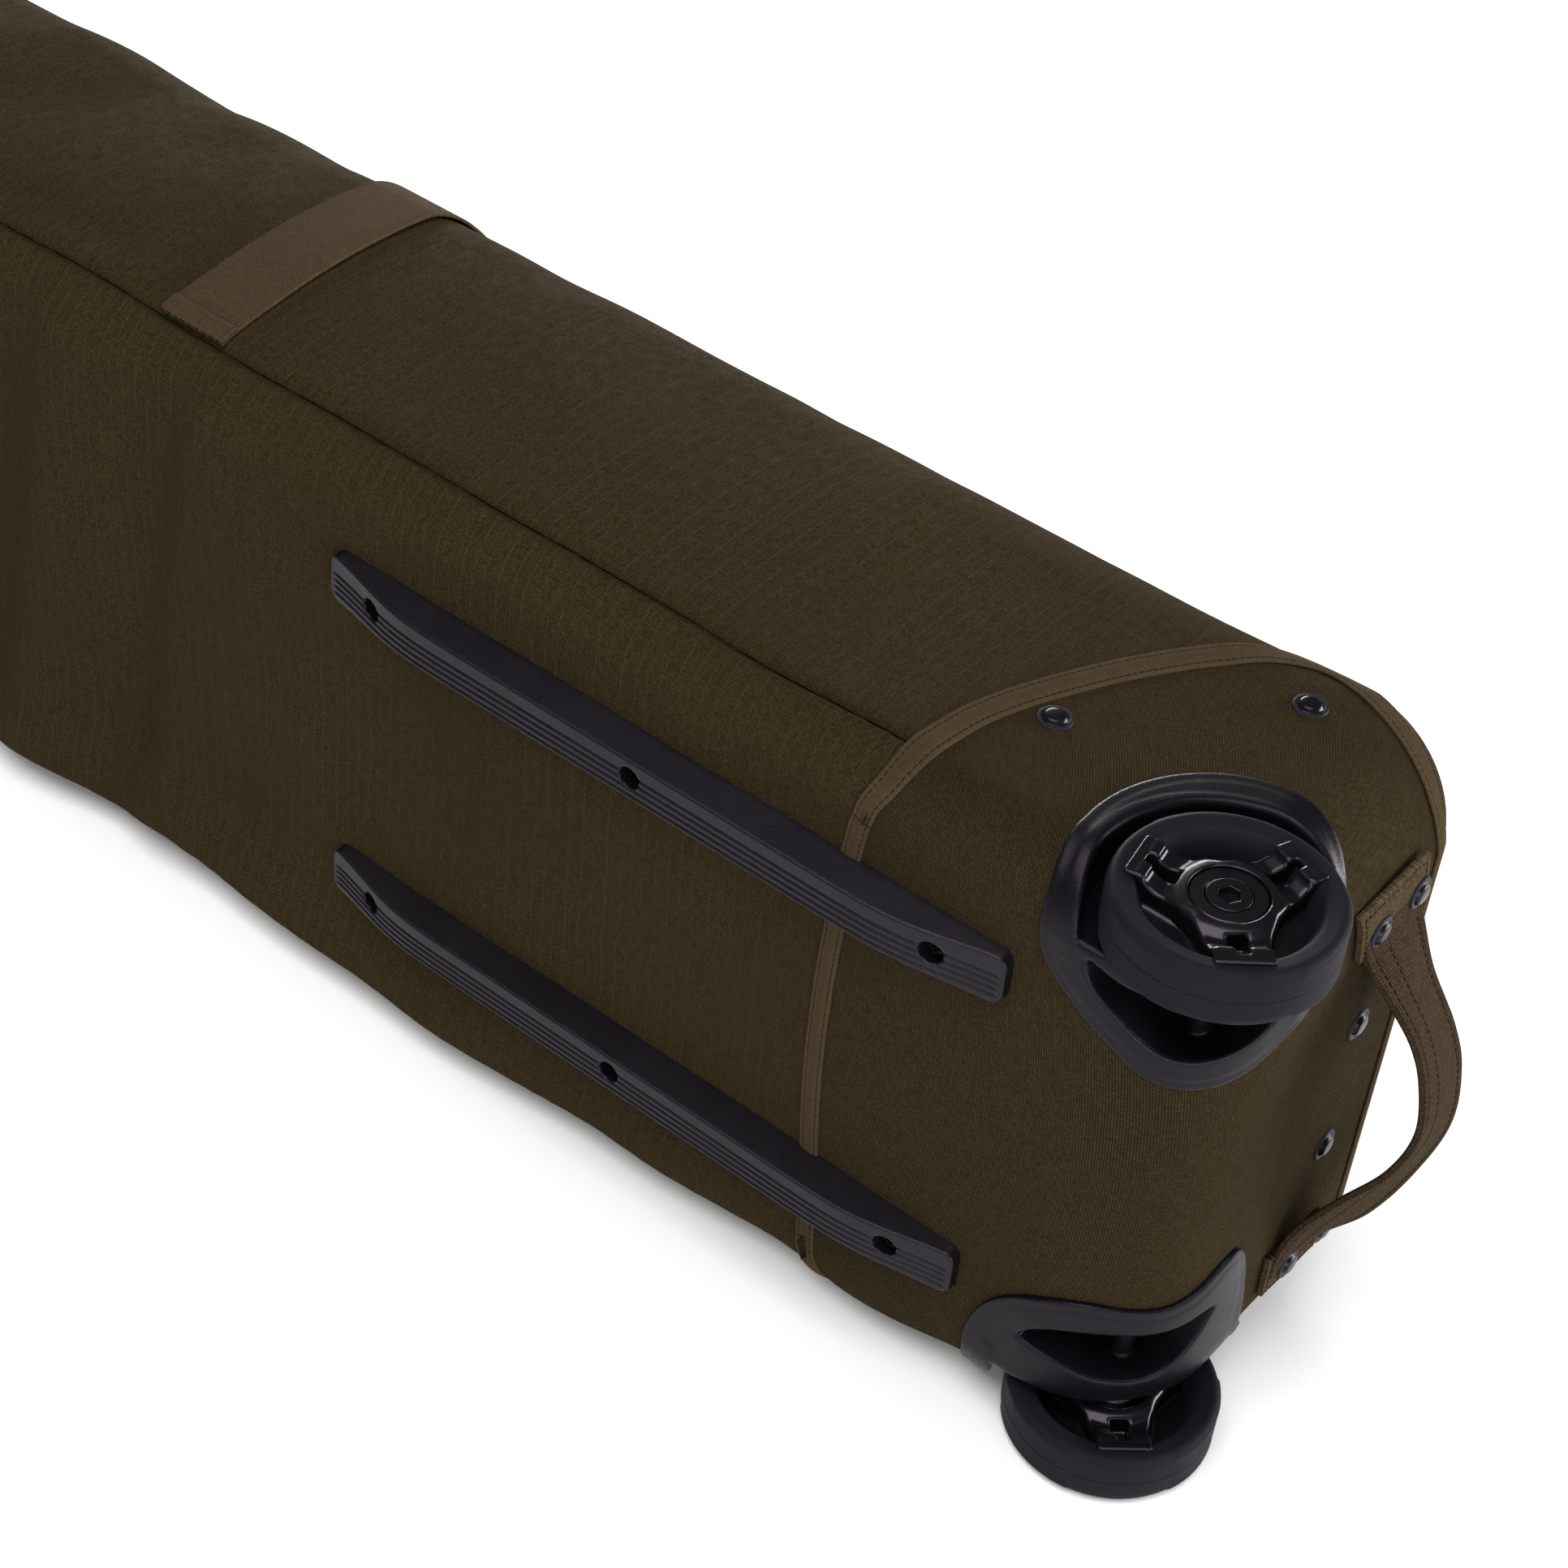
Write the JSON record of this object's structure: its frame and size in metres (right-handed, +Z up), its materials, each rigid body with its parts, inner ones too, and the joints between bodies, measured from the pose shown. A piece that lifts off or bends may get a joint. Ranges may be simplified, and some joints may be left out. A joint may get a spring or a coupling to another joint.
{
  "type": "wheeled ski bag",
  "caption": "Long padded olive-brown ski bag lying on its side, with a zipped lid, black skid rails, corner wheel housings with spoked wheels, and webbing grab handles.",
  "frame": {"origin": "centre of the bounding box on the floor plane, under the bag as it lies on its side", "axes": "+X along the bag to the wheel end, +Y from the railed underside to the zipped lid, +Z up along the wheel axle"},
  "size_m": [1.862, 0.228, 0.3054],
  "materials": {
    "bag_fabric": "padded plain-weave polyester canvas, dark olive brown, dry",
    "binding": "folded grosgrain tape with two stitch rows",
    "webbing": "woven strap",
    "moulding": "fine-textured injection moulding, charcoal black",
    "zip_chain": "coil zip, satin",
    "stiffener": "polyethylene sheet",
    "hub": "gloss black moulding",
    "tyre": "matte black polyurethane",
    "steel": "bright zinc-plated steel",
    "gunmetal": "black-nickel plated"
  },
  "bodies": {
    "bag": {"base_panel": "bag_fabric", "side_panel_upper": "bag_fabric", "side_panel_lower": "bag_fabric", "tip_end_panel": "bag_fabric", "top_yoke": "bag_fabric", "wheel_end_cap": "bag_fabric", "binding_tape": "binding", "grab_handle_tab_upper": "webbing", "grab_handle_tab_lower": "webbing", "tip_handle_tab_upper": "webbing", "tip_handle_tab_lower": "webbing", "side_strap_a_upper": "webbing", "side_strap_a_lower": "webbing", "side_strap_b_upper": "webbing", "side_strap_b_lower": "webbing", "wheel_housing_upper": "moulding", "wheel_housing_lower": "moulding", "skid_rail_upper": "moulding", "skid_rail_lower": "moulding", "zip_teeth_bag": "zip_chain", "base_board": "stiffener", "end_board": "stiffener", "axle_washer_upper": "hub", "axle_washer_lower": "hub", "axle_spacer_upper": "steel", "axle_spacer_lower": "steel", "rail_screw_upper_1": "steel", "rail_screw_upper_2": "steel", "rail_screw_upper_3": "steel", "rail_screw_lower_1": "steel", "rail_screw_lower_2": "steel", "rail_screw_lower_3": "steel", "axle_bolt_upper": "gunmetal", "axle_bolt_lower": "gunmetal", "rivet_end_upper": "gunmetal", "rivet_end_lower": "gunmetal", "rivet_handle_near_upper": "gunmetal", "rivet_handle_near_lower": "gunmetal", "rivet_handle_far_upper": "gunmetal", "rivet_handle_far_lower": "gunmetal", "rivet_shoulder_a_upper": "gunmetal", "rivet_shoulder_a_lower": "gunmetal", "rivet_shoulder_b_upper": "gunmetal", "rivet_shoulder_b_lower": "gunmetal"},
    "wheel_upper": {"tyre_upper": "tyre", "wheel_hub_upper": "hub", "bearing_outer_upper": "steel", "bearing_inner_upper": "steel"},
    "wheel_lower": {"tyre_lower": "tyre", "wheel_hub_lower": "hub", "bearing_outer_lower": "steel", "bearing_inner_lower": "steel"},
    "lid": {"lid_panel": "bag_fabric", "zip_teeth_lid": "zip_chain"},
    "zip_slider_a": {"zip_slider_a": "gunmetal"},
    "zip_slider_b": {"zip_slider_b": "gunmetal"},
    "zip_pull_a": {"zip_pull_a": "gunmetal"},
    "zip_pull_b": {"zip_pull_b": "gunmetal"},
    "grab_handle": {"grab_handle": "webbing"},
    "tip_handle": {"tip_handle": "webbing"}
  },
  "joints": [
    {"name": "wheel_upper_spin", "type": "hinge", "parent": "bag", "child": "wheel_upper", "pos_m": [0.857, -0.0665, 0.2919], "axis": [0, 0, 1], "continuous": true},
    {"name": "wheel_lower_spin", "type": "hinge", "parent": "bag", "child": "wheel_lower", "pos_m": [0.857, -0.0665, 0.0135], "axis": [0, 0, 1], "continuous": true},
    {"name": "lid_hinge", "type": "hinge", "parent": "bag", "child": "lid", "pos_m": [-0.034, 0.1055, 0.2427], "axis": [1, 0, 0], "range_deg": [0, 160]},
    {"name": "zip_slider_a_slide", "type": "slide", "parent": "lid", "child": "zip_slider_a", "axis": [1, 0, 0], "range_m": [0, 0.56]},
    {"name": "zip_slider_b_slide", "type": "slide", "parent": "lid", "child": "zip_slider_b", "axis": [-1, 0, 0], "range_m": [0, 0.94]},
    {"name": "zip_pull_a_flip", "type": "hinge", "parent": "zip_slider_a", "child": "zip_pull_a", "pos_m": [0.173, 0.11145, 0.0627], "axis": [0, 0, 1], "range_deg": [0, 100]},
    {"name": "zip_pull_b_flip", "type": "hinge", "parent": "zip_slider_b", "child": "zip_pull_b", "pos_m": [0.141, 0.11145, 0.0627], "axis": [0, 0, -1], "range_deg": [0, 100]},
    {"name": "grab_handle_swing", "type": "hinge", "parent": "bag", "child": "grab_handle", "pos_m": [0.885, 0.0255, 0.1527], "axis": [0, 0, 1], "range_deg": [-35, 35], "stiffness_Nm_per_rad": 0.06},
    {"name": "tip_handle_swing", "type": "hinge", "parent": "bag", "child": "tip_handle", "pos_m": [-0.885, 0.0045, 0.1527], "axis": [0, 0, 1], "range_deg": [-35, 35], "stiffness_Nm_per_rad": 0.06}
  ]
}
